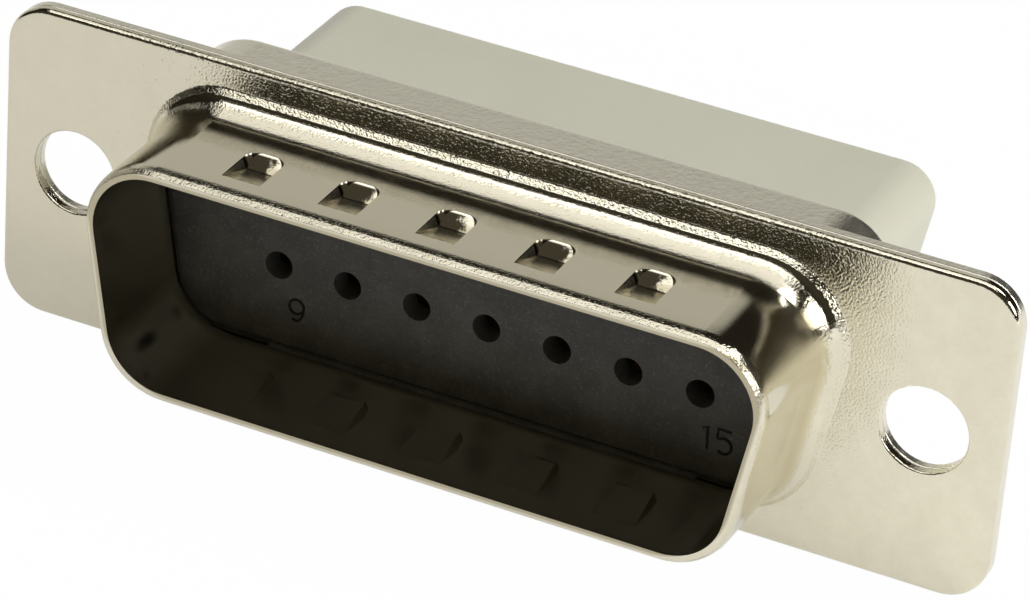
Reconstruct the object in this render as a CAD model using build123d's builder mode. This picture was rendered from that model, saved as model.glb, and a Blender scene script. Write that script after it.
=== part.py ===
from build123d import *
import os
from math import cos, radians, sin, sqrt, tan

# Housing of a 15-way D-shaped connector for crimp contacts, pin side, without its contacts.
# Frame: X along the flange, -Y the way the mating half comes on, +Z up, wide side of the D up.
# The origin is the middle of the flange's front face. All sizes are in millimetres.

# Contact cavities in two rows, eight above seven
contact_pitch = 2.77
row_spacing = 2.84
upper_count = 8
lower_count = 7
pin_hole_radius = 0.55
pin_funnel = 0.4
cavity_radius = 0.93
cavity_lead_in = 0.25
clip_seat_clearance = 0.03

# Steel sheet of both shells
sheet = 0.38
flange_corner = 1.7
front_flange_edge = 0.2
rear_flange_edge = 0.09
hole_radius = 1.65
hole_edge = 0.08
hole_break = 0.05

# Mating wall, measured on its inside: its margins run from the outermost contacts' axes
mouth_side_margin = 2.93
mouth_top_margin = 2.76
mouth_width = (upper_count - 1) * contact_pitch + 2 * mouth_side_margin
mouth_height = row_spacing + 2 * mouth_top_margin
mouth_corner = 2.25
mouth_depth = 5.75
side_slope = 10.0

# Rolled edge of the mating wall: three arcs that turn the wall down to its end face
edge_roll_radius = 1.4
edge_roll_angle = 14.0
edge_round_radius = 0.36
edge_round_angle = 50.0
edge_corner_radius = 0.03

# Root of the mating wall: a bend up to a crease, then a flatter ramp with a tight blend into the flange
root_radius = 1.2
crease_angle = 54.0
ramp_angle = 42.0
root_blend = 0.1

# Flat land that the flange keeps round the root and the holes
root_margin = 0.04
root_land = 0.45
hole_land = 0.755
end_land = 1.27

# Dimples pressed into the top and bottom of the mating wall
dimple_count = 5
dimple_pitch = 3.75
dimple_width = 1.5
dimple_length = 2.15
dimple_setback = 2.45
dimple_depth = 0.42
dimple_floor = 0.62
dimple_rear_angle = 38.0
dimple_corner = 0.5
dimple_taper = 22.0
bump_height = 0.33
bump_spread = 0.08

# Front insulator: a recessed face that reaches out behind the mouth, then the shoulder that both shells trap
face_side_reach = 0.675
face_top_reach = 0.46
face_width = mouth_width + 2 * face_side_reach
face_height = mouth_height + 2 * face_top_reach
face_corner = 1.8
face_recess = 0.33
face_edge = 0.08
shoulder_side_step = 0.13
shoulder_top_step = 0.22
shoulder_width = face_width + 2 * shoulder_side_step
shoulder_height = face_height + 2 * shoulder_top_step
shoulder_corner = 2.16
shoulder_recess = 0.45
seat_rib_length = 17.0
seat_rib_thickness = 0.15
insulator_split = 1.75

# Rear insulator: the same shoulder, then the body that stands out at the back
body_side_step = 1.13
body_top_step = 1.31
body_width = shoulder_width - 2 * body_side_step
body_height = shoulder_height - 2 * body_top_step
body_corner = 1.4
body_edge = 0.25
body_end = 11.62

# Rear shell's collar, with a turned-in lip behind the shoulder and an opening for the body
collar_end = 4.1
collar_clearance = 0.06
collar_root = 0.5
lip_radius = 0.1
lip_reach = 1.4
lip_clearance = 0.1

# Retention clip: a split sleeve with two bent-in tines
clip_radius = 1.21
clip_wall = 0.12
clip_length = 3.2
clip_gap = 0.6
tine_width = 0.6
tine_root = 0.9
tine_tip = 2.5
tine_reach = 0.72
window_margin = 0.1


def plane_at(depth):
    """A plane across the connector, depth behind the flange's front face, that faces forwards."""
    return Plane.XZ.offset(-depth)


def dee_corners(width, height, corner):
    """The sharp corners, top and bottom, of a D's right half; width is taken over its round corners."""
    slope = radians(side_slope)
    side = cos(slope) * (width / 2 - corner) - sin(slope) * (height / 2 - corner) + corner
    top = (side + height / 2 * sin(slope)) / cos(slope)
    bottom = (side - height / 2 * sin(slope)) / cos(slope)
    return (top, height / 2), (bottom, -height / 2)


def dee(plane, width, height, corner):
    """A whole D outline as a sketch, with the wide side up."""
    top, bottom = dee_corners(width, height, corner)
    with BuildSketch(plane) as outline:
        with BuildLine():
            FilletPolyline(
                top,
                bottom,
                (-bottom[0], bottom[1]),
                (-top[0], top[1]),
                radius=corner,
                close=True,
            )
        make_face()
    return outline.sketch


def half_dee(width, height, corner):
    """The right half of a D outline as a path, from mid-top to mid-bottom."""
    top, bottom = dee_corners(width, height, corner)
    with BuildLine(Plane.XZ) as outline:
        FilletPolyline((0, top[1]), top, bottom, (0, bottom[1]), radius=corner)
    return outline.wire()


def arc_point(centre, radius, angle):
    """A point on an arc of the shells' section: angle 0 at the wall, 90 at the flange."""
    return (
        centre[0] + radius * sin(radians(angle)),
        centre[1] - radius * cos(radians(angle)),
    )


def flange(front, edge, collar_outline):
    """One flange plate, sheet thick, with two holes, a D opening and the punch's rounded edges."""
    with BuildPart() as plate:
        with BuildSketch(plane_at(front)):
            RectangleRounded(flange_length, flange_height, flange_corner)
        extrude(amount=-sheet)
        front_face = plate.faces().sort_by(Axis.Y)[0]
        fillet(front_face.outer_wire().edges(), edge)
        with BuildSketch(plane_at(front)):
            with GridLocations(hole_pitch, 0, 2, 1):
                Circle(hole_radius)
        extrude(amount=-sheet, mode=Mode.SUBTRACT)
        front_face = plate.faces().sort_by(Axis.Y)[0]
        fillet(front_face.inner_wires().edges(), hole_edge)
        back_face = plate.faces().sort_by(Axis.Y)[-1]
        chamfer(back_face.inner_wires().edges(), hole_break)
        extrude(dee(plane_at(front), *collar_outline), amount=-sheet, mode=Mode.SUBTRACT)
    return plate.part


def dimple(level, spread, depth):
    """A dimple's solid, level down by depth, steeper at its rear than on the ramp to its front edge."""
    rear = -dimple_setback + spread
    rear_slope = depth / tan(radians(dimple_rear_angle))
    front = -dimple_setback - dimple_length - spread
    with BuildPart() as press:
        with BuildSketch(Plane.XY.offset(level)) as outline:
            with Locations((0, (rear + front) / 2)):
                Rectangle(dimple_width + 2 * spread, rear - front)
            fillet(outline.vertices().group_by(Axis.Y)[-1], dimple_corner + spread)
        extrude(amount=-depth, taper=dimple_taper)
        with BuildSketch(Plane.YZ):
            with BuildLine():
                Polyline(
                    (front, level),
                    (rear - dimple_floor, level - depth),
                    (rear - rear_slope, level - depth),
                    (rear, level),
                    close=True,
                )
            make_face()
        extrude(amount=dimple_width, both=True, mode=Mode.INTERSECT)
    return press.part


# Section of the front shell's wall at the top middle, in (depth, height), from the mouth's edge to the flange
mouth_top = mouth_height / 2
wall_top = mouth_top + sheet
bend_centre = (-root_radius, wall_top + root_radius)
crease = arc_point(bend_centre, root_radius, crease_angle)
blend_reach = root_blend * (1 - sin(radians(ramp_angle)))
ramp_end = (-blend_reach, crease[1] - (crease[0] + blend_reach) * tan(radians(ramp_angle)))
blend_centre = (-root_blend, ramp_end[1] + root_blend * cos(radians(ramp_angle)))
back_radius = root_radius + sheet
back_centre = (sheet - back_radius, mouth_top + back_radius)
root_spread = back_radius + root_margin
root_top = mouth_top + root_spread


def edge_fall(radius, start, end):
    """How far forwards and down an arc of the rolled edge goes while it turns from start to end."""
    return (
        radius * (sin(radians(end)) - sin(radians(start))),
        radius * (cos(radians(start)) - cos(radians(end))),
    )


def edge_heading(angle):
    """The direction in which the rolled edge runs, forwards and down, where it has turned by angle."""
    return (-cos(radians(angle)), -sin(radians(angle)))


# Points where the rolled edge's arcs meet, from the end face back to the wall's straight top
roll_fall = edge_fall(edge_roll_radius, 0, edge_roll_angle)
round_fall = edge_fall(edge_round_radius, edge_roll_angle, edge_round_angle)
corner_fall = edge_fall(edge_corner_radius, edge_round_angle, 90)
edge_bottom = (-mouth_depth, wall_top - roll_fall[1] - round_fall[1] - corner_fall[1])
round_start = (edge_bottom[0] + corner_fall[0], edge_bottom[1] + corner_fall[1])
roll_start = (round_start[0] + round_fall[0], round_start[1] + round_fall[1])
roll_end = (roll_start[0] + roll_fall[0], wall_top)

# Flange of both shells, and its holes
hole_pitch = mouth_width + 2 * (root_spread + hole_land + hole_radius)
flange_length = hole_pitch + 2 * (hole_radius + end_land)
flange_height = mouth_height + 2 * (root_spread + root_land)

with BuildPart() as front_shell:
    with BuildSketch(Plane.YZ):
        with BuildLine():
            Polyline((back_centre[0], mouth_top), (-mouth_depth, mouth_top), edge_bottom)
            TangentArc(edge_bottom, round_start, tangent=(0, 1))
            TangentArc(roll_start, round_start, tangent=edge_heading(edge_roll_angle))
            TangentArc(roll_end, roll_start, tangent=(-1, 0))
            Line(roll_end, (-root_radius, wall_top))
            CenterArc(bend_centre, root_radius, -90, crease_angle)
            Line(crease, ramp_end)
            CenterArc(blend_centre, root_blend, ramp_angle - 90, 90 - ramp_angle)
            Polyline((0, blend_centre[1]), (0, root_top), (sheet, root_top), (sheet, back_centre[1]))
            CenterArc(back_centre, back_radius, -90, 90)
        make_face()
    sweep(path=half_dee(mouth_width, mouth_height, mouth_corner))
    mirror(about=Plane.YZ)
    add(
        flange(
            0,
            front_flange_edge,
            (
                mouth_width + 2 * root_spread,
                mouth_height + 2 * root_spread,
                mouth_corner + root_spread,
            ),
        )
    )
    bump = dimple(mouth_top, bump_spread, bump_height)
    pocket = dimple(wall_top, 0, dimple_depth)
    with GridLocations(dimple_pitch, 0, dimple_count, 1):
        add([bump, mirror(bump, about=Plane.XY, mode=Mode.PRIVATE)])
        add([pocket, mirror(pocket, about=Plane.XY, mode=Mode.PRIVATE)], mode=Mode.SUBTRACT)

# Rear shell: the same flange behind the first, and a collar whose rear lip holds the insulators in
shell_joint = sheet
collar_width = shoulder_width + 2 * collar_clearance
collar_height = shoulder_height + 2 * collar_clearance
collar_corner = shoulder_corner + collar_clearance
collar_inner = collar_height / 2
collar_outer = collar_inner + sheet
collar_bend = collar_root + sheet
collar_centre = (shell_joint + collar_bend, collar_inner + collar_bend)
lip_front = collar_end - sheet
lip_centre = (lip_front - lip_radius, collar_inner - lip_radius)
lip_inner = collar_inner - lip_reach

with BuildPart() as rear_shell:
    with BuildSketch(Plane.YZ):
        with BuildLine():
            CenterArc(collar_centre, collar_bend, 180, 90)
            Line((collar_centre[0], collar_inner), (lip_centre[0], collar_inner))
            CenterArc(lip_centre, lip_radius, 0, 90)
            Polyline(
                (lip_front, lip_centre[1]),
                (lip_front, lip_inner),
                (collar_end, lip_inner),
                (collar_end, lip_centre[1]),
            )
            CenterArc(lip_centre, lip_radius + sheet, 0, 90)
            Line((lip_centre[0], collar_outer), (collar_centre[0], collar_outer))
            CenterArc(collar_centre, collar_root, 180, 90)
            Line((shell_joint + sheet, collar_centre[1]), (shell_joint, collar_centre[1]))
        make_face()
    sweep(path=half_dee(collar_width, collar_height, collar_corner))
    mirror(about=Plane.YZ)
    body_opening = dee(
        plane_at(collar_end),
        body_width + 2 * lip_clearance,
        body_height + 2 * lip_clearance,
        body_corner + lip_clearance,
    )
    extrude(body_opening, amount=sheet, mode=Mode.SUBTRACT)
    add(
        flange(
            shell_joint,
            rear_flange_edge,
            (
                collar_width + 2 * collar_bend,
                collar_height + 2 * collar_bend,
                collar_corner + collar_bend,
            ),
        )
    )

# Contact places, numbered 1 to 8 along the upper row and 9 to 15 along the lower one
upper_row = [
    ((place - (upper_count - 1) / 2) * contact_pitch, row_spacing / 2) for place in range(upper_count)
]
lower_row = [
    ((place - (lower_count - 1) / 2) * contact_pitch, -row_spacing / 2) for place in range(lower_count)
]
contact_places = upper_row + lower_row

# Front insulator: its ribs bear on the curved back of the front shell
rib_top = shoulder_height / 2
rib_recess = back_centre[0] + sqrt(back_radius**2 - (back_centre[1] - rib_top) ** 2)

with BuildPart() as front_insulator:
    extrude(
        dee(plane_at(insulator_split), shoulder_width, shoulder_height, shoulder_corner),
        amount=insulator_split - shoulder_recess,
    )
    extrude(
        dee(plane_at(shoulder_recess), face_width, face_height, face_corner),
        amount=shoulder_recess - face_recess,
    )
    front_face = front_insulator.faces().sort_by(Axis.Y)[0]
    fillet(front_face.outer_wire().edges(), face_edge)
    with BuildSketch(plane_at(shoulder_recess)):
        with GridLocations(0, shoulder_height - seat_rib_thickness, 1, 2):
            Rectangle(seat_rib_length, seat_rib_thickness)
    extrude(amount=shoulder_recess - rib_recess)
    with BuildSketch(plane_at(insulator_split)):
        with Locations(*contact_places):
            Circle(pin_hole_radius)
    extrude(amount=insulator_split, mode=Mode.SUBTRACT)
    with BuildSketch(plane_at(insulator_split)):
        with Locations(*contact_places):
            Circle(pin_hole_radius + pin_funnel)
    extrude(amount=pin_funnel, taper=45, mode=Mode.SUBTRACT)

# Rear insulator: each cavity has a wider seat at its front end, which holds the clip
seat_end = insulator_split + clip_length

with BuildPart() as rear_insulator:
    extrude(
        dee(plane_at(lip_front), shoulder_width, shoulder_height, shoulder_corner),
        amount=lip_front - insulator_split,
    )
    extrude(
        dee(plane_at(body_end), body_width, body_height, body_corner),
        amount=body_end - lip_front,
    )
    rear_face = rear_insulator.faces().sort_by(Axis.Y)[-1]
    fillet(rear_face.outer_wire().edges(), body_edge)
    with BuildSketch(plane_at(insulator_split)):
        with Locations(*contact_places):
            Circle(clip_radius + clip_seat_clearance)
    extrude(amount=-clip_length, mode=Mode.SUBTRACT)
    with BuildSketch(plane_at(seat_end)):
        with Locations(*contact_places):
            Circle(cavity_radius)
    extrude(amount=seat_end - body_end, mode=Mode.SUBTRACT)
    rear_face = rear_insulator.faces().sort_by(Axis.Y)[-1]
    chamfer(rear_face.inner_wires().edges(), cavity_lead_in)

# Retention clip, standing on its rear end: a split sleeve with windows that leave two tines bent inwards
with BuildPart() as clip:
    with BuildSketch():
        Circle(clip_radius)
        Circle(clip_radius - clip_wall, mode=Mode.SUBTRACT)
        with Locations((0, clip_radius)):
            Rectangle(clip_gap, 2 * clip_radius, mode=Mode.SUBTRACT)
    extrude(amount=clip_length)
    window_width = tine_width + 2 * window_margin
    window_length = tine_tip + window_margin - tine_root
    with Locations((0, 0, tine_root + window_length / 2)):
        Box(3 * clip_radius, window_width, window_length, mode=Mode.SUBTRACT)
    with BuildSketch(Plane.XZ):
        with BuildLine():
            Polyline(
                (clip_radius, tine_root - clip_wall),
                (clip_radius, tine_root),
                (tine_reach + clip_wall, tine_tip),
                (tine_reach, tine_tip),
                (clip_radius - clip_wall, tine_root),
                (clip_radius - clip_wall, tine_root - clip_wall),
                close=True,
            )
        make_face()
        mirror(about=Plane.YZ)
    extrude(amount=tine_width / 2, both=True)
    with BuildSketch():
        Circle(clip_radius)
    extrude(amount=clip_length, mode=Mode.INTERSECT)

front_shell.part.label = "front_shell"
rear_shell.part.label = "rear_shell"
front_insulator.part.label = "front_insulator"
rear_insulator.part.label = "rear_insulator"

os.makedirs("parts", exist_ok=True)
export_step(front_shell.part, "parts/front_shell.step")
export_step(rear_shell.part, "parts/rear_shell.step")
export_step(front_insulator.part, "parts/front_insulator.step")
export_step(rear_insulator.part, "parts/rear_insulator.step")

for number, (x, z) in enumerate(contact_places, start=1):
    cavity_floor = Plane(origin=(x, seat_end, z), x_dir=(1, 0, 0), z_dir=(0, -1, 0))
    with BuildPart(cavity_floor) as contact_clip:
        add(clip.part)
    contact_clip.part.label = f"contact_clip_{number:02d}"
    export_step(contact_clip.part, f"parts/{contact_clip.part.label}.step")
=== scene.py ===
import bpy
import numpy as np
from math import cos, pi, radians, sin
from mathutils import Matrix, Vector


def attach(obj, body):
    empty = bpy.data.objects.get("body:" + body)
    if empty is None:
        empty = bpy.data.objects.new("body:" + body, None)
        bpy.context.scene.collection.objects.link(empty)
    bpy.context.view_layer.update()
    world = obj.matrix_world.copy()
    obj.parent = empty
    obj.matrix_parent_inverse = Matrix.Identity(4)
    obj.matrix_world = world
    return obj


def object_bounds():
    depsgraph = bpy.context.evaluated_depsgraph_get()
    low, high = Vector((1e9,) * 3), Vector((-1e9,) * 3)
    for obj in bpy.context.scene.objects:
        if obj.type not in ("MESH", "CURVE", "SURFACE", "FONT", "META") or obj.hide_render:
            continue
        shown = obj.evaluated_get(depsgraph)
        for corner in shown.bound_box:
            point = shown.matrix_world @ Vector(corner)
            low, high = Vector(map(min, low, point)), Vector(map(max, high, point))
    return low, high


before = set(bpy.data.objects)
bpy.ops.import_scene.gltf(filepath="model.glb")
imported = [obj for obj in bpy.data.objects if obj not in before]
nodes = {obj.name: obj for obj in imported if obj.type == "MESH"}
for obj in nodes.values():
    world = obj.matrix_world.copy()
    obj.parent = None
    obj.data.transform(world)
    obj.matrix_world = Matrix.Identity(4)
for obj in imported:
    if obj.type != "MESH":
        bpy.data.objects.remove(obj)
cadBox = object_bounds()
mm = 0.001
print("frame loaded:", len(nodes), "nodes")


# camera: a long lens, above and to the right, leaning a little
camera = {
    "aim": (1.1196, 0.0, 0.2570),  # mm, the point in the middle of the picture
    "azimuth": 23.582,             # degrees from -Y towards +X
    "elevation": 29.870,
    "roll": 4.570,                 # degrees, the picture leans clockwise
    "distance": 178.16,            # mm
    "lens": 177.887,               # mm
    "sensor": 36,                  # mm
    "clip": (0.01, 20),            # m, nearest and farthest thing it sees
}


def placeCamera():
    az, el, roll = (radians(camera[k]) for k in ("azimuth", "elevation", "roll"))
    back = Vector((sin(az) * cos(el), -cos(az) * cos(el), sin(el)))
    right = Vector((cos(az), sin(az), 0))
    up = back.cross(right)
    turnedRight = right * cos(roll) + up * sin(roll)
    turnedUp = up * cos(roll) - right * sin(roll)
    data = bpy.data.cameras.new("photoCamera")
    data.lens = camera["lens"]
    data.sensor_width = camera["sensor"]
    data.clip_start, data.clip_end = camera["clip"]
    holder = bpy.data.objects.new("photoCamera", data)
    bpy.context.scene.collection.objects.link(holder)
    turn = Matrix((turnedRight, turnedUp, back)).transposed().to_4x4()
    spot = (Vector(camera["aim"]) + back * camera["distance"]) * mm
    holder.matrix_world = Matrix.Translation(spot) @ turn
    bpy.context.scene.camera = holder
    print("camera at", [round(v / mm, 3) for v in spot])


placeCamera()


# materials: one helper for the nodes, one for the colours
noiseReach = 4  # a noise texture covers only part of its range, so its bump is set this much taller


def linearColour(hexCode):
    # sRGB to linear: c / 12.92 up to 0.04045, and ((c + 0.055) / 1.055) to the power 2.4 above it
    parts = np.array([int(hexCode[i:i + 2], 16) for i in (0, 2, 4)]) / 255
    parts = np.where(parts <= 0.04045, parts / 12.92, ((parts + 0.055) / 1.055) ** 2.4)
    return (*(float(p) for p in parts), 1.0)


def addNode(tree, kind, inputs=None, **settings):
    # in a Mix of colours the inputs 6 and 7 are its two colours, and the output 2 is the mixed one
    node = tree.nodes.new(kind)
    for name, value in settings.items():
        setattr(node, name, value)
    for name, value in (inputs or {}).items():
        if isinstance(value, bpy.types.NodeSocket):
            tree.links.new(value, node.inputs[name])
        else:
            node.inputs[name].default_value = value
    return node


def newMaterial(name):
    material = bpy.data.materials.new(name)
    material.use_nodes = True
    material.node_tree.nodes.clear()
    return material, material.node_tree


def dress(material, *names):
    for name in names:
        slots = nodes[name].data.materials
        if len(slots):
            for i in range(len(slots)):
                slots[i] = material
        else:
            slots.append(material)


# front shell: drawn steel with a bright tin plate. Round the drawn root, round the holes and on the
# mouth's lip it has an orange peel, which breaks the reflection of a lamp's edge into sparks. Along
# the crease it is smooth, and inside the mouth it is dull. Where the plate is darker by place, the
# tone is painted shade, only matched to the object's brightness. Where the plate is darker by
# place, the tone was only matched to the object's brightness, and its cause isn't known
frontPlate = {
    "colour": "F8F4E2",
    "shade": "DFD8C2",              # in clouds over the colour
    "cloudSize": 1.1,               # mm
    "roughness": 0.07,
    "roughnessSpread": (-0.03, 0.04),  # added to it, from the clouds' dark to their bright parts
    "cloudEdges": (0.3, 0.7),

    "peelSize": 0.095,              # mm across one bump of the peel
    "peelHeight": 0.0055,           # mm
    "pitSize": 0.15,                # mm between the sharper pits
    "pitHeight": 0.0065,            # mm
    "pitEdges": (0.1, 0.45),        # share of its size where a pit's floor ends and its rim starts
    "pitFade": 3.0,                 # the pits fade as this power of the peel
    "grainSize": 0.035,             # mm, rolled grain, drawn as coarse as a pixel so that it shows
    "grainHeight": 0.0004,          # mm

    "wallSide": 12.705,             # mm, half the mating wall's width outside, at mid height
    "wallTop": 4.56,                # mm, half its height outside
    "wallCorner": 2.63,             # mm
    "sideSlope": 0.176,             # the sides lean by this much
    "flangeFade": (1.3, 4.2),       # mm from the mating wall, between which the peel fades
    "flatPeel": 0.26,               # share of the peel left on the flange's flat ends
    "wallFade": (-1.3, -0.2),       # mm, the depths between which it comes back from the wall
    "wallPeel": 0.06,               # share left on the mating wall
    "lipFade": (-5.62, -5.1),       # mm, the depths between which the lip's peel ends
    "lipPeel": 0.9,
    "holeSpot": 16.65,              # mm from the middle, the punched holes
    "holeFade": (1.8, 2.35),        # mm from a hole's centre, between which its rough rim fades
    "holePeel": 0.8,
    "creaseDepth": -0.33,           # mm, the smooth crease in the bend
    "creaseFade": (0.07, 0.12),     # mm from the crease
    "creasePeel": 0.15,

    "rise": 0.2,                    # mm, how far the mating wall lifts towards the root
    "riseFade": (-3.0, -0.75),      # mm, the depths between which it does
    "lipFall": 0.022,               # mm, how far it falls away towards the mouth's edge
    "fallFade": (-4.4, -5.75),      # mm
    "crown": 0.045,                 # mm, how much fuller than an arc the rolled lip is
    "crownFade": (-5.6, -5.75),     # mm

    "leftPaintedShade": "D5CFBC",         # painted shade: the shell's left end is a little darker, for the shaded floor that it mirrors
    "leftFade": (-13, 15),          # mm
    "leftShare": 0.6,
    "wallPaintedShade": "DDD7C4",         # painted shade too, on the mating wall
    "wallMiddle": -3.05,            # mm, depth of its middle
    "wallHalf": (2.1, 2.5),         # mm from there, where this tone starts and stops to fade

    # painted shade inside the mouth; the duller plate there is its roughness
    "mouthPaintedShade": "BEB69E",
    "mouthRoughness": 0.24,
    "mouthEdges": (-0.3, -0.2),     # mm from the wall's outside, in the thickness of the sheet

    "dimplePitch": 3.75,            # mm
    "dimpleHalf": (0.78, 0.82),     # mm, half a dimple's width and the fade at its side
    "rowHalf": (8.6, 8.8),          # mm, half the row of dimples
    "rowHeight": (3.5, 3.6),        # mm, only the upper row gets these tones
    "pressedEdges": (-0.06, -0.02),  # mm from the wall's outside, where the sheet is pressed in
    "pressedRoughness": 0.22,
    "steepPaintedShade": "2E2A20",        # painted shade on their steep rear ends, with a painted bright spot
    "steepEdges": (-3.11, -3.05),   # mm, depth
    "paintedGlintSlope": 0.35,             # where the painted bright spot sits: per mm across a dimple, added to the clouds
    "paintedGlintEdges": (0.56, 0.64),
    "paintedGlintShare": 0.15,             # share of the painted shade left in the painted bright spot
}


def distanceOutsideWall(tree, axes):
    # how far a point is from the centres of the mating wall's corners, in metres, as for a box with
    # round corners, so that the wall's outside is at wallCorner: the length of the pair
    # |x| - slope times z - half the width, and |z| - half the height, each at least 0
    part = frontPlate
    across = addNode(tree, "ShaderNodeMath", {0: axes.outputs["X"]}, operation="ABSOLUTE")
    across = addNode(tree, "ShaderNodeMath", {
        0: axes.outputs["Z"], 1: -part["sideSlope"], 2: across.outputs[0]},
        operation="MULTIPLY_ADD")
    across = addNode(tree, "ShaderNodeMath", {
        0: across.outputs[0], 1: (part["wallSide"] - part["wallCorner"]) * mm},
        operation="SUBTRACT")
    across = addNode(tree, "ShaderNodeMath", {0: across.outputs[0], 1: 0.0}, operation="MAXIMUM")
    upward = addNode(tree, "ShaderNodeMath", {0: axes.outputs["Z"]}, operation="ABSOLUTE")
    upward = addNode(tree, "ShaderNodeMath", {
        0: upward.outputs[0], 1: (part["wallTop"] - part["wallCorner"]) * mm}, operation="SUBTRACT")
    upward = addNode(tree, "ShaderNodeMath", {0: upward.outputs[0], 1: 0.0}, operation="MAXIMUM")
    outside = addNode(tree, "ShaderNodeCombineXYZ", {
        "X": across.outputs[0], "Y": upward.outputs[0]})
    outside = addNode(tree, "ShaderNodeVectorMath", {0: outside.outputs[0]}, operation="LENGTH")
    return outside.outputs["Value"]


def peelShare(tree, axes, outside):
    # the peel is strong round the root, fades over the flange, and comes back round the holes and
    # at the rolled lip. The mating wall and the crease have little of it
    part = frontPlate
    corner = part["wallCorner"]
    nearRoot = addNode(tree, "ShaderNodeMapRange", {
        "Value": outside, "From Min": (corner + part["flangeFade"][0]) * mm,
        "From Max": (corner + part["flangeFade"][1]) * mm,
        "To Min": 1.0, "To Max": part["flatPeel"]}, interpolation_type="SMOOTHSTEP")
    deep = addNode(tree, "ShaderNodeMapRange", {
        "Value": axes.outputs["Y"], "From Min": part["wallFade"][0] * mm,
        "From Max": part["wallFade"][1] * mm,
        "To Min": part["wallPeel"], "To Max": 1.0}, interpolation_type="SMOOTHSTEP")
    lip = addNode(tree, "ShaderNodeMapRange", {
        "Value": axes.outputs["Y"], "From Min": part["lipFade"][0] * mm,
        "From Max": part["lipFade"][1] * mm, "To Min": part["lipPeel"], "To Max": 0.0})
    fromHole = addNode(tree, "ShaderNodeMath", {0: axes.outputs["X"]}, operation="ABSOLUTE")
    fromHole = addNode(tree, "ShaderNodeMath", {
        0: fromHole.outputs[0], 1: part["holeSpot"] * mm}, operation="SUBTRACT")
    fromHole = addNode(tree, "ShaderNodeCombineXYZ", {
        "X": fromHole.outputs[0], "Z": axes.outputs["Z"]})
    fromHole = addNode(tree, "ShaderNodeVectorMath", {0: fromHole.outputs[0]}, operation="LENGTH")
    rim = addNode(tree, "ShaderNodeMapRange", {
        "Value": fromHole.outputs["Value"], "From Min": part["holeFade"][0] * mm,
        "From Max": part["holeFade"][1] * mm,
        "To Min": part["holePeel"], "To Max": 0.0}, interpolation_type="SMOOTHSTEP")
    share = addNode(tree, "ShaderNodeMath", {
        0: nearRoot.outputs[0], 1: rim.outputs[0]}, operation="MAXIMUM")
    share = addNode(tree, "ShaderNodeMath", {
        0: share.outputs[0], 1: deep.outputs[0]}, operation="MULTIPLY")
    share = addNode(tree, "ShaderNodeMath", {
        0: share.outputs[0], 1: lip.outputs[0]}, operation="MAXIMUM")
    away = addNode(tree, "ShaderNodeMath", {
        0: axes.outputs["Y"], 1: part["creaseDepth"] * mm}, operation="SUBTRACT")
    away = addNode(tree, "ShaderNodeMath", {0: away.outputs[0]}, operation="ABSOLUTE")
    smooth = addNode(tree, "ShaderNodeMapRange", {
        "Value": away.outputs[0], "From Min": part["creaseFade"][0] * mm,
        "From Max": part["creaseFade"][1] * mm, "To Min": part["creasePeel"], "To Max": 1.0})
    share = addNode(tree, "ShaderNodeMath", {
        0: share.outputs[0], 1: smooth.outputs[0]}, operation="MULTIPLY")
    return share.outputs[0]


def wallLift(tree, axes):
    # the object's wall isn't quite flat, which shows in what it mirrors, and the solid's is. With t
    # from 0 to 1 over each stretch, the height in shares of the rise is t^4 (5 - 4t), less the
    # fall's t^2, plus the crown's t^2
    part = frontPlate
    along = addNode(tree, "ShaderNodeMapRange", {
        "Value": axes.outputs["Y"], "From Min": part["riseFade"][0] * mm,
        "From Max": part["riseFade"][1] * mm})
    power = addNode(tree, "ShaderNodeMath", {0: along.outputs[0], 1: 4.0}, operation="POWER")
    lift = addNode(tree, "ShaderNodeMath", {
        0: along.outputs[0], 1: -4.0, 2: 5.0}, operation="MULTIPLY_ADD")
    lift = addNode(tree, "ShaderNodeMath", {
        0: lift.outputs[0], 1: power.outputs[0]}, operation="MULTIPLY")
    for height, fade in ((-part["lipFall"], part["fallFade"]), (part["crown"], part["crownFade"])):
        toLip = addNode(tree, "ShaderNodeMapRange", {
            "Value": axes.outputs["Y"], "From Min": fade[0] * mm, "From Max": fade[1] * mm})
        toLip = addNode(tree, "ShaderNodeMath", {0: toLip.outputs[0], 1: 2.0}, operation="POWER")
        lift = addNode(tree, "ShaderNodeMath", {
            0: toLip.outputs[0], 1: height / part["rise"], 2: lift.outputs[0]},
            operation="MULTIPLY_ADD")
    return lift.outputs[0]


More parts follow.
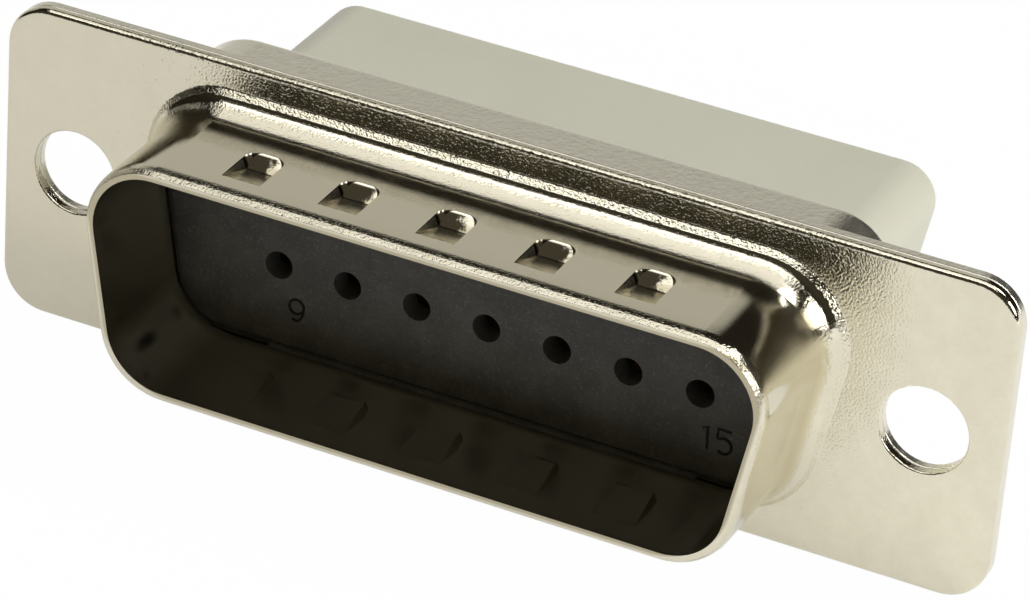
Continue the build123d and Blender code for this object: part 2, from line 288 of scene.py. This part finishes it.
def dimpleShares(tree, axes, outside, cloud):
    # where the sheet is pressed in, as a row along X, and how dark the painted shade on its steep
    # rear ends is, left lighter where a bright spot is painted
    part = frontPlate
    corner = part["wallCorner"]
    pressed = addNode(tree, "ShaderNodeMapRange", {
        "Value": outside, "From Min": (corner + part["pressedEdges"][0]) * mm,
        "From Max": (corner + part["pressedEdges"][1]) * mm, "To Min": 1.0, "To Max": 0.0})
    steep = addNode(tree, "ShaderNodeMapRange", {
        "Value": axes.outputs["Y"], "From Min": part["steepEdges"][0] * mm,
        "From Max": part["steepEdges"][1] * mm})
    column = addNode(tree, "ShaderNodeMath", {
        0: axes.outputs["X"], 1: part["dimplePitch"] / 2 * mm, 2: -part["dimplePitch"] / 2 * mm},
        operation="WRAP")
    paintedGlint = addNode(tree, "ShaderNodeMath", {
        0: column.outputs[0], 1: part["paintedGlintSlope"] / mm, 2: cloud}, operation="MULTIPLY_ADD")
    paintedGlint = addNode(tree, "ShaderNodeMapRange", {
        "Value": paintedGlint.outputs[0], "From Min": part["paintedGlintEdges"][0],
        "From Max": part["paintedGlintEdges"][1], "To Min": 1.0, "To Max": part["paintedGlintShare"]})
    column = addNode(tree, "ShaderNodeMath", {0: column.outputs[0]}, operation="ABSOLUTE")
    column = addNode(tree, "ShaderNodeMapRange", {
        "Value": column.outputs[0], "From Min": part["dimpleHalf"][0] * mm,
        "From Max": part["dimpleHalf"][1] * mm, "To Min": 1.0, "To Max": 0.0})
    above = addNode(tree, "ShaderNodeMapRange", {
        "Value": axes.outputs["Z"], "From Min": part["rowHeight"][0] * mm,
        "From Max": part["rowHeight"][1] * mm})
    row = addNode(tree, "ShaderNodeMath", {0: axes.outputs["X"]}, operation="ABSOLUTE")
    row = addNode(tree, "ShaderNodeMapRange", {
        "Value": row.outputs[0], "From Min": part["rowHalf"][0] * mm,
        "From Max": part["rowHalf"][1] * mm, "To Min": 1.0, "To Max": 0.0})
    for mask in (above, column, row):
        pressed = addNode(tree, "ShaderNodeMath", {
            0: pressed.outputs[0], 1: mask.outputs[0]}, operation="MULTIPLY")
    for mask in (pressed, paintedGlint):
        steep = addNode(tree, "ShaderNodeMath", {
            0: steep.outputs[0], 1: mask.outputs[0]}, operation="MULTIPLY")
    return pressed.outputs[0], steep.outputs[0]


def makeFrontPlate():
    part = frontPlate
    material, tree = newMaterial("brightTinPlatedDrawnSteel")
    place = addNode(tree, "ShaderNodeTexCoord")
    spot = place.outputs["Object"]
    axes = addNode(tree, "ShaderNodeSeparateXYZ", {"Vector": spot})
    outside = distanceOutsideWall(tree, axes)
    share = peelShare(tree, axes, outside)
    peel = addNode(tree, "ShaderNodeTexNoise", {
        "Vector": spot, "Scale": 1 / (part["peelSize"] * mm), "Detail": 2.0, "Roughness": 0.55})
    pits = addNode(tree, "ShaderNodeTexVoronoi", {
        "Vector": spot, "Scale": 1 / (part["pitSize"] * mm)}, feature="F1")
    pitDepth = addNode(tree, "ShaderNodeMapRange", {
        "Value": pits.outputs["Distance"], "From Min": part["pitEdges"][0],
        "From Max": part["pitEdges"][1]}, interpolation_type="SMOOTHSTEP")
    pitShare = addNode(tree, "ShaderNodeMath", {0: share, 1: part["pitFade"]}, operation="POWER")
    grain = addNode(tree, "ShaderNodeTexNoise", {
        "Vector": spot, "Scale": 1 / (part["grainSize"] * mm), "Detail": 1.0})
    cloud = addNode(tree, "ShaderNodeTexNoise", {
        "Vector": spot, "Scale": 1 / (part["cloudSize"] * mm), "Detail": 8.0, "Roughness": 0.75})
    liftBump = addNode(tree, "ShaderNodeBump", {
        "Strength": 1.0, "Distance": part["rise"] * mm, "Height": wallLift(tree, axes)})
    peelBump = addNode(tree, "ShaderNodeBump", {
        "Strength": share, "Distance": part["peelHeight"] * mm * noiseReach,
        "Height": peel.outputs["Fac"], "Normal": liftBump.outputs[0]})
    pitBump = addNode(tree, "ShaderNodeBump", {
        "Strength": pitShare.outputs[0], "Distance": part["pitHeight"] * mm,
        "Height": pitDepth.outputs[0], "Normal": peelBump.outputs[0]})
    grainBump = addNode(tree, "ShaderNodeBump", {
        "Strength": 1.0, "Distance": part["grainHeight"] * mm * noiseReach,
        "Height": grain.outputs["Fac"], "Normal": pitBump.outputs[0]})
    gloss = addNode(tree, "ShaderNodeMapRange", {
        "Value": cloud.outputs["Fac"], "From Min": part["cloudEdges"][0],
        "From Max": part["cloudEdges"][1],
        "To Min": part["roughness"] + part["roughnessSpread"][0],
        "To Max": part["roughness"] + part["roughnessSpread"][1]})

    # by place, painted shade: the left end, the mating wall, the mouth's inner face, and the
    # dimples over all
    left = addNode(tree, "ShaderNodeMapRange", {
        "Value": axes.outputs["X"], "From Min": part["leftFade"][0] * mm,
        "From Max": part["leftFade"][1] * mm, "To Min": part["leftShare"], "To Max": 0.0})
    wall = addNode(tree, "ShaderNodeMath", {
        0: axes.outputs["Y"], 1: -part["wallMiddle"] * mm}, operation="ADD")
    wall = addNode(tree, "ShaderNodeMath", {0: wall.outputs[0]}, operation="ABSOLUTE")
    wall = addNode(tree, "ShaderNodeMapRange", {
        "Value": wall.outputs[0], "From Min": part["wallHalf"][0] * mm,
        "From Max": part["wallHalf"][1] * mm, "To Min": 1.0, "To Max": 0.0})
    mouth = addNode(tree, "ShaderNodeMapRange", {
        "Value": outside, "From Min": (part["wallCorner"] + part["mouthEdges"][0]) * mm,
        "From Max": (part["wallCorner"] + part["mouthEdges"][1]) * mm,
        "To Min": 1.0, "To Max": 0.0})
    pressed, steep = dimpleShares(tree, axes, outside, cloud.outputs["Fac"])
    tint = addNode(tree, "ShaderNodeMix", {
        "Factor": cloud.outputs["Fac"],
        6: linearColour(part["colour"]), 7: linearColour(part["shade"])},
        data_type="RGBA")
    tones = ((left.outputs[0], "leftPaintedShade"), (wall.outputs[0], "wallPaintedShade"),
             (mouth.outputs[0], "mouthPaintedShade"), (steep, "steepPaintedShade"))
    for factor, tone in tones:
        tint = addNode(tree, "ShaderNodeMix", {
            "Factor": factor, 6: tint.outputs[2], 7: linearColour(part[tone])}, data_type="RGBA")
    for factor, rough in ((mouth.outputs[0], "mouthRoughness"), (pressed, "pressedRoughness")):
        gloss = addNode(tree, "ShaderNodeMix", {
            "Factor": factor, "A": gloss.outputs[0], "B": part[rough]})
    metal = addNode(tree, "ShaderNodeBsdfPrincipled", {
        "Base Color": tint.outputs[2], "Metallic": 1.0, "Roughness": gloss.outputs[0],
        "Normal": grainBump.outputs[0]})
    addNode(tree, "ShaderNodeOutputMaterial", {"Surface": metal.outputs[0]})
    return material


dress(makeFrontPlate(), "front_shell")


# rear shell: the same plate, but satin, with a soft peel and faint drawing lines
rearPlate = {
    "colour": "F7F4E8",
    "shade": "ECE8DA",
    "peelSize": 0.2,        # mm
    "peelHeight": 0.003,    # mm
    "lineSize": 0.05,       # mm between drawing lines
    "lineHeight": 0.0015,   # mm
    "lineStretch": 0.06,    # the lines run along Y
    "roughness": 0.27,
}


def makeRearPlate():
    part = rearPlate
    material, tree = newMaterial("satinTinPlatedDrawnSteel")
    place = addNode(tree, "ShaderNodeTexCoord")
    spot = place.outputs["Object"]
    stretch = addNode(tree, "ShaderNodeMapping", {
        "Vector": spot, "Scale": (1.0, part["lineStretch"], 1.0)})
    lines = addNode(tree, "ShaderNodeTexNoise", {
        "Vector": stretch.outputs[0], "Scale": 1 / (part["lineSize"] * mm), "Detail": 2.0})
    peel = addNode(tree, "ShaderNodeTexNoise", {
        "Vector": spot, "Scale": 1 / (part["peelSize"] * mm), "Detail": 2.0})
    peelBump = addNode(tree, "ShaderNodeBump", {
        "Strength": 1.0, "Distance": part["peelHeight"] * mm * noiseReach,
        "Height": peel.outputs["Fac"]})
    lineBump = addNode(tree, "ShaderNodeBump", {
        "Strength": 1.0, "Distance": part["lineHeight"] * mm * noiseReach,
        "Height": lines.outputs["Fac"], "Normal": peelBump.outputs[0]})
    tint = addNode(tree, "ShaderNodeMix", {
        "Factor": peel.outputs["Fac"],
        6: linearColour(part["colour"]), 7: linearColour(part["shade"])},
        data_type="RGBA")
    metal = addNode(tree, "ShaderNodeBsdfPrincipled", {
        "Base Color": tint.outputs[2], "Metallic": 1.0, "Roughness": part["roughness"],
        "Normal": lineBump.outputs[0]})
    addNode(tree, "ShaderNodeOutputMaterial", {"Surface": metal.outputs[0]})
    return material


dress(makeRearPlate(), "rear_shell")


# front insulator: glass-filled polyester moulded nearly black. Its skin is matt, with grey dust in
# clouds and specks, and it is lighter towards the bottom. The numerals are darker and a little
# shinier
darkMoulding = {
    "colour": "464647",
    "dust": "9A9892",
    "strokeColour": "242425",
    "dustSize": 1.4,        # mm across a cloud of dust
    "dustEdges": (0.42, 0.72),
    "dustShare": 0.35,      # how dense a cloud gets
    "speckSize": 0.09,      # mm
    "speckEdges": (0.6, 0.76),
    "speckShare": 0.7,
    "lighterBelowHeight": (-4.2, 1.5),  # mm, from the lighter tone below to the darker tone above
    "lighterBelowTop": 0.25,    # share of it left above
    "lighterBelowEven": 0.55,   # an even lighter tone under the clouds
    "skinSize": 0.06,       # mm across the moulded texture
    "skinHeight": 0.003,    # mm
    "roughness": 0.55,
    "strokeRoughness": 0.3,
    "ior": 1.55,
}


def makeDarkMoulding():
    part = darkMoulding
    material, tree = newMaterial("glassFilledPolyesterMoulded")
    place = addNode(tree, "ShaderNodeTexCoord")
    spot = place.outputs["Object"]
    axes = addNode(tree, "ShaderNodeSeparateXYZ", {"Vector": spot})
    clouds = addNode(tree, "ShaderNodeTexNoise", {
        "Vector": spot, "Scale": 1 / (part["dustSize"] * mm), "Detail": 6.0, "Roughness": 0.7})
    cloudFade = addNode(tree, "ShaderNodeMapRange", {
        "Value": clouds.outputs["Fac"], "From Min": part["dustEdges"][0],
        "From Max": part["dustEdges"][1], "To Min": 0.0, "To Max": part["dustShare"]})
    lighterBelow = addNode(tree, "ShaderNodeMapRange", {
        "Value": axes.outputs["Z"], "From Min": part["lighterBelowHeight"][0] * mm,
        "From Max": part["lighterBelowHeight"][1] * mm, "To Min": 1.0, "To Max": part["lighterBelowTop"]})
    specks = addNode(tree, "ShaderNodeTexNoise", {
        "Vector": spot, "Scale": 1 / (part["speckSize"] * mm), "Detail": 1.0})
    speckFade = addNode(tree, "ShaderNodeMapRange", {
        "Value": specks.outputs["Fac"], "From Min": part["speckEdges"][0],
        "From Max": part["speckEdges"][1], "To Min": 0.0, "To Max": part["speckShare"]})
    dusty = addNode(tree, "ShaderNodeMath", {
        0: cloudFade.outputs[0], 1: speckFade.outputs[0]}, operation="ADD", use_clamp=True)
    dusty = addNode(tree, "ShaderNodeMath", {
        0: lighterBelow.outputs[0], 1: part["lighterBelowEven"], 2: dusty.outputs[0]},
        operation="MULTIPLY_ADD", use_clamp=True)
    dusty = addNode(tree, "ShaderNodeMath", {
        0: dusty.outputs[0], 1: lighterBelow.outputs[0]}, operation="MULTIPLY")
    tint = addNode(tree, "ShaderNodeMix", {
        "Factor": dusty.outputs[0], 6: linearColour(part["colour"]), 7: linearColour(part["dust"])},
        data_type="RGBA")
    skin = addNode(tree, "ShaderNodeTexNoise", {
        "Vector": spot, "Scale": 1 / (part["skinSize"] * mm), "Detail": 3.0})
    bump = addNode(tree, "ShaderNodeBump", {
        "Strength": 1.0, "Distance": part["skinHeight"] * mm * noiseReach,
        "Height": skin.outputs["Fac"]})
    plastic = addNode(tree, "ShaderNodeBsdfPrincipled", {
        "Base Color": tint.outputs[2], "Roughness": part["roughness"], "IOR": part["ior"],
        "Normal": bump.outputs[0]})
    addNode(tree, "ShaderNodeOutputMaterial", {"Surface": plastic.outputs[0]})
    return material


def makeStrokePlastic():
    part = darkMoulding
    material, tree = newMaterial("glassFilledPolyesterPolished")
    place = addNode(tree, "ShaderNodeTexCoord")
    skin = addNode(tree, "ShaderNodeTexNoise", {
        "Vector": place.outputs["Object"], "Scale": 1 / (part["skinSize"] * mm), "Detail": 2.0})
    bump = addNode(tree, "ShaderNodeBump", {
        "Strength": 1.0, "Distance": part["skinHeight"] * mm, "Height": skin.outputs["Fac"]})
    plastic = addNode(tree, "ShaderNodeBsdfPrincipled", {
        "Base Color": linearColour(part["strokeColour"]), "Roughness": part["strokeRoughness"],
        "IOR": part["ior"], "Normal": bump.outputs[0]})
    addNode(tree, "ShaderNodeOutputMaterial", {"Surface": plastic.outputs[0]})
    return material


dress(makeDarkMoulding(), "front_insulator")


# rear insulator: moulded polyester without pigment, a greenish ivory that lets a little light in
paleMoulding = {
    "colour": "D9D9CA",
    "shade": "D0D0BF",
    "cloudSize": 4.0,       # mm
    "skinSize": 0.12,       # mm
    "skinHeight": 0.002,    # mm
    "roughness": 0.42,
    "ior": 1.55,
    "inside": 0.2,          # share of the light that goes in
    "insideReach": (0.6, 0.55, 0.4),  # mm, how far its red, green and blue go
}


def makePaleMoulding():
    part = paleMoulding
    material, tree = newMaterial("naturalPolyesterMoulded")
    place = addNode(tree, "ShaderNodeTexCoord")
    spot = place.outputs["Object"]
    clouds = addNode(tree, "ShaderNodeTexNoise", {
        "Vector": spot, "Scale": 1 / (part["cloudSize"] * mm), "Detail": 3.0})
    tint = addNode(tree, "ShaderNodeMix", {
        "Factor": clouds.outputs["Fac"],
        6: linearColour(part["colour"]), 7: linearColour(part["shade"])},
        data_type="RGBA")
    skin = addNode(tree, "ShaderNodeTexNoise", {
        "Vector": spot, "Scale": 1 / (part["skinSize"] * mm), "Detail": 3.0})
    bump = addNode(tree, "ShaderNodeBump", {
        "Strength": 1.0, "Distance": part["skinHeight"] * mm * noiseReach,
        "Height": skin.outputs["Fac"]})
    plastic = addNode(tree, "ShaderNodeBsdfPrincipled", {
        "Base Color": tint.outputs[2], "Roughness": part["roughness"], "IOR": part["ior"],
        "Subsurface Weight": part["inside"], "Subsurface Radius": part["insideReach"],
        "Subsurface Scale": mm, "Normal": bump.outputs[0]})
    addNode(tree, "ShaderNodeOutputMaterial", {"Surface": plastic.outputs[0]})
    return material


dress(makePaleMoulding(), "rear_insulator")


# retention clips: rolled beryllium copper strip, a warm satin metal
clipStrip = {
    "colour": "8A6244",
    "shade": "6B4A32",
    "lineSize": 0.03,       # mm between rolling lines
    "lineHeight": 0.001,    # mm
    "lineStretch": 0.08,    # the lines run along Y
    "roughness": 0.3,
}


def makeClipStrip():
    part = clipStrip
    material, tree = newMaterial("berylliumCopperRolled")
    place = addNode(tree, "ShaderNodeTexCoord")
    stretch = addNode(tree, "ShaderNodeMapping", {
        "Vector": place.outputs["Object"], "Scale": (1.0, part["lineStretch"], 1.0)})
    lines = addNode(tree, "ShaderNodeTexNoise", {
        "Vector": stretch.outputs[0], "Scale": 1 / (part["lineSize"] * mm), "Detail": 2.0})
    tint = addNode(tree, "ShaderNodeMix", {
        "Factor": lines.outputs["Fac"],
        6: linearColour(part["colour"]), 7: linearColour(part["shade"])},
        data_type="RGBA")
    bump = addNode(tree, "ShaderNodeBump", {
        "Strength": 1.0, "Distance": part["lineHeight"] * mm * noiseReach,
        "Height": lines.outputs["Fac"]})
    metal = addNode(tree, "ShaderNodeBsdfPrincipled", {
        "Base Color": tint.outputs[2], "Metallic": 1.0, "Roughness": part["roughness"],
        "Normal": bump.outputs[0]})
    addNode(tree, "ShaderNodeOutputMaterial", {"Surface": metal.outputs[0]})
    return material


dress(makeClipStrip(), *[name for name in nodes if name.startswith("contact_clip_")])
print("materials on the packed nodes")


# numerals: raised strokes beside the end places of each row, moulded with the front insulator
numerals = {
    "face": 0.33,       # mm, depth of the insulator's face behind the flange
    "rise": 0.045,      # mm above the face
    "sunk": 0.02,       # mm, how far the foot goes into the face
    "stroke": 0.12,     # mm wide at the foot
    "crown": 0.6,       # share of the stroke's width that is flat on top
    # mm, the middle of each numeral in X and Z
    "places": {"1": (-8.95, 3.04), "8": (10.35, 3.04), "9": (-7.52, -3.04), "15": (9.1, -3.04)},
}


def arcPoints(cx, cz, rx, rz, start, end, count=28):
    # an ellipse's arc about (cx, cz): x = cx + rx cos t, z = cz + rz sin t, t in degrees
    t = np.radians(np.linspace(start, end, count))
    return np.column_stack([cx + rx * np.cos(t), cz + rz * np.sin(t)])


def numeralStrokes():
    # each numeral's strokes in mm, about its own middle
    one = np.array([(-0.17, 0.31), (0.0, 0.46), (0.03, -0.46)])
    five = np.vstack([[(0.29, 0.44), (-0.22, 0.47), (-0.25, 0.08)],
                      arcPoints(0.03, -0.18, 0.29, 0.31, 125, -135)])
    return {
        "1": [one],
        "8": [arcPoints(0, 0.22, 0.21, 0.22, 0, 360), arcPoints(0, -0.22, 0.27, 0.25, 0, 360)],
        "9": [arcPoints(0, 0.14, 0.29, 0.29, 0, 360), arcPoints(0, 0.1, 0.29, 0.54, 0, -120)],
        "15": [one + (-0.38, 0), five + (0.25, 0)],
    }


def carveStroke(path, part):
    # a low trapezium carried along the path: each ring is the path's point moved sideways by the
    # profile's offset and forwards by its height, and both ends close on the path itself
    run = np.gradient(path, axis=0)
    run /= np.linalg.norm(run, axis=1)[:, None]
    side = np.column_stack([-run[:, 1], run[:, 0]])
    half = part["stroke"] / 2
    across = np.array([-half, -half * part["crown"], half * part["crown"], half])
    height = np.array([-part["sunk"], part["rise"], part["rise"], -part["sunk"]])
    flat = path[:, None, :] + side[:, None, :] * across[None, :, None]
    deep = np.broadcast_to(part["face"] - height, flat.shape[:2])
    rings = np.stack([flat[..., 0], deep, flat[..., 1]], axis=-1)
    count, wide = rings.shape[:2]
    row, column = np.meshgrid(np.arange(count - 1), np.arange(wide), indexing="ij")
    here, beside = row * wide + column, row * wide + (column + 1) % wide
    quads = np.stack([here, beside, beside + wide, here + wide], axis=-1)
    faces = [tuple(q) for q in quads.reshape(-1, 4).tolist()]
    faces += [tuple(range(wide))[::-1], tuple(range((count - 1) * wide, count * wide))]
    return rings.reshape(-1, 3), faces


def makeNumerals():
    part = numerals
    material = makeStrokePlastic()
    for name, strokes in numeralStrokes().items():
        points, faces, first = [], [], 0
        for path in strokes:
            ring, quads = carveStroke(path + np.array(part["places"][name]), part)
            points.append(ring)
            faces += [tuple(first + i for i in quad) for quad in quads]
            first += len(ring)
        mesh = bpy.data.meshes.new("numeral_" + name)
        mesh.from_pydata((np.vstack(points) * mm).tolist(), [], faces)
        mesh.materials.append(material)
        piece = bpy.data.objects.new("numeral_" + name, mesh)
        bpy.context.scene.collection.objects.link(piece)
        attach(piece, "root")


makeNumerals()
print("numerals on the front insulator")


# floor: white card at the level of the flange's lower edge
floorCard = {
    "size": 3.0,            # m
    "colour": "FAFAF8",
    "glow": 0.985,          # share of plain white that the camera sees
    "mirrored": 0.45,       # and that the metal sees
}


def makeFloor():
    part = floorCard
    half = part["size"] / 2
    mesh = bpy.data.meshes.new("floorCard")
    corners = [(-half, -half, 0), (half, -half, 0), (half, half, 0), (-half, half, 0)]
    mesh.from_pydata(corners, [], [(0, 1, 2, 3)])
    mesh.transform(Matrix.Translation((0, 0, cadBox[0][2])))
    floor = bpy.data.objects.new("floorCard", mesh)
    bpy.context.scene.collection.objects.link(floor)
    material, tree = newMaterial("whiteCardMatt")
    path = addNode(tree, "ShaderNodeLightPath")
    mirrored = addNode(tree, "ShaderNodeMath", {
        0: path.outputs["Is Glossy Ray"], 1: path.outputs["Is Transmission Ray"]},
        operation="ADD", use_clamp=True)
    mirrored = addNode(tree, "ShaderNodeMath", {
        0: mirrored.outputs[0], 1: part["mirrored"]}, operation="MULTIPLY")
    share = addNode(tree, "ShaderNodeMath", {
        0: path.outputs["Is Camera Ray"], 1: part["glow"], 2: mirrored.outputs[0]},
        operation="MULTIPLY_ADD")
    card = addNode(tree, "ShaderNodeBsdfDiffuse", {"Color": linearColour(part["colour"])})
    glow = addNode(tree, "ShaderNodeEmission", {"Color": (1, 1, 1, 1), "Strength": 1.0})
    both = addNode(tree, "ShaderNodeMixShader", {
        0: share.outputs[0], 1: card.outputs[0], 2: glow.outputs[0]})
    addNode(tree, "ShaderNodeOutputMaterial", {"Surface": both.outputs[0]})
    mesh.materials.append(material)


makeFloor()


# light: two softboxes overhead, a low one near on the right, a fill high behind on the right, and a
# grey wall behind on the left of a dim room
softboxes = {
    "overhead": {
        "spot": (-0.06, 0.07, 0.5),     # m, its middle
        "size": (0.54, 0.3),
        "level": 1.1,                   # how bright the box looks, 1 is white paper
        "turned": False,                # towards the part, or else straight down
    },
    "front": {
        "spot": (-0.06, -0.195, 0.5),
        "size": (0.54, 0.18),
        "level": 2.0,
        "turned": False,
    },
    "right": {
        "spot": (0.274, -0.01, 0.122),
        "size": (0.16, 0.11),
        "level": 8.5,
        "turned": True,
    },
    "fill": {
        "spot": (0.27, 0.24, 0.5),
        "size": (0.2, 0.2),
        "level": 7.0,
        "turned": True,
    },
}
lampColour = (1.0, 0.985, 0.95)  # a little warm
room = {
    "wall": "C2C0B8",         # grey wall behind on the left
    "front": "3A372E",        # the room in front
    "dim": "24211C",          # the rest
    "wallTop": 0.585,         # sine of the wall's upper edge
    "wallRight": -0.1,        # how far right it reaches, as a share of the distance
    "fade": 0.05,             # how soft its edges are
    "frontFade": (-0.35, -0.65),  # Y of the direction, where the front takes over from the rest
}


def makeLights():
    for name, part in softboxes.items():
        data = bpy.data.lights.new(name + "Softbox", "AREA")
        data.shape = "RECTANGLE"
        data.size, data.size_y = part["size"]
        data.energy = part["level"] * pi * data.size * data.size_y
        data.color = lampColour
        box = bpy.data.objects.new(name + "Softbox", data)
        bpy.context.scene.collection.objects.link(box)
        box.location = part["spot"]
        if part["turned"]:
            box.rotation_euler = Vector(part["spot"]).to_track_quat("Z", "Y").to_euler()
    world = bpy.data.worlds.new("studioRoom")
    bpy.context.scene.world = world
    world.use_nodes = True
    tree = world.node_tree
    tree.nodes.clear()
    place = addNode(tree, "ShaderNodeTexCoord")
    axes = addNode(tree, "ShaderNodeSeparateXYZ", {"Vector": place.outputs["Generated"]})
    fade = room["fade"]
    low = addNode(tree, "ShaderNodeMapRange", {
        "Value": axes.outputs["Z"], "From Min": room["wallTop"] - fade,
        "From Max": room["wallTop"] + fade, "To Min": 1.0, "To Max": 0.0})
    left = addNode(tree, "ShaderNodeMapRange", {
        "Value": axes.outputs["X"], "From Min": room["wallRight"] - fade,
        "From Max": room["wallRight"] + fade, "To Min": 1.0, "To Max": 0.0})
    behind = addNode(tree, "ShaderNodeMapRange", {
        "Value": axes.outputs["Y"], "From Min": -fade, "From Max": fade})
    wall = addNode(tree, "ShaderNodeMath", {
        0: low.outputs[0], 1: left.outputs[0]}, operation="MULTIPLY")
    wall = addNode(tree, "ShaderNodeMath", {
        0: wall.outputs[0], 1: behind.outputs[0]}, operation="MULTIPLY")
    before = addNode(tree, "ShaderNodeMapRange", {
        "Value": axes.outputs["Y"], "From Min": room["frontFade"][0],
        "From Max": room["frontFade"][1]})
    colour = addNode(tree, "ShaderNodeMix", {
        "Factor": before.outputs[0], 6: linearColour(room["dim"]), 7: linearColour(room["front"])},
        data_type="RGBA")
    colour = addNode(tree, "ShaderNodeMix", {
        "Factor": wall.outputs[0], 6: colour.outputs[2], 7: linearColour(room["wall"])},
        data_type="RGBA")
    light = addNode(tree, "ShaderNodeBackground", {"Color": colour.outputs[2], "Strength": 1.0})
    addNode(tree, "ShaderNodeOutputWorld", {"Surface": light.outputs[0]})


makeLights()
bpy.context.scene.view_settings.view_transform = "Standard"
print("floor and lights ready")
